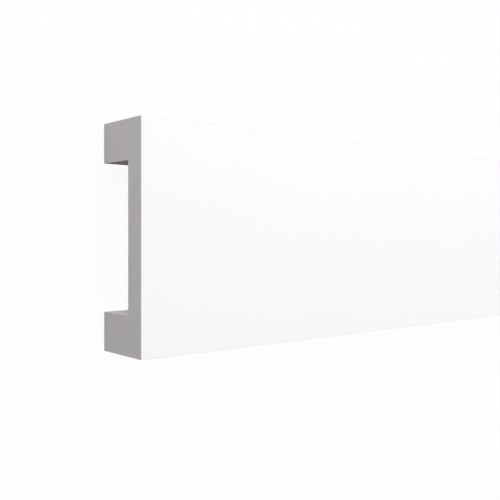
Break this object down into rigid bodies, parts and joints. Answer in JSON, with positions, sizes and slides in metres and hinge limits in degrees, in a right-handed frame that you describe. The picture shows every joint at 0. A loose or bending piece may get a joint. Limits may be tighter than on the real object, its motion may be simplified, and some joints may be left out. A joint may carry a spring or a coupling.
{
  "type": "panel moulding",
  "caption": "Straight length of white wall trim with a plain flat face and a channel-shaped back, whose legs bed on a wall and leave room for cables behind.",
  "frame": {"origin": "on the plane that the feet bed on, midway along the stock and under the middle of the face", "axes": "+X along the stock, +Y up the face as it hangs on a wall, +Z out of the wall through the face; it lies on its feet"},
  "size_m": [2, 0.08, 0.025],
  "materials": {
    "primed_polymer": "smooth matt white primer on extruded foamed polymer, with sawn ends of bare grey-white foam"
  },
  "bodies": {
    "root": {"panel_moulding": "primed_polymer"}
  },
  "joints": []
}
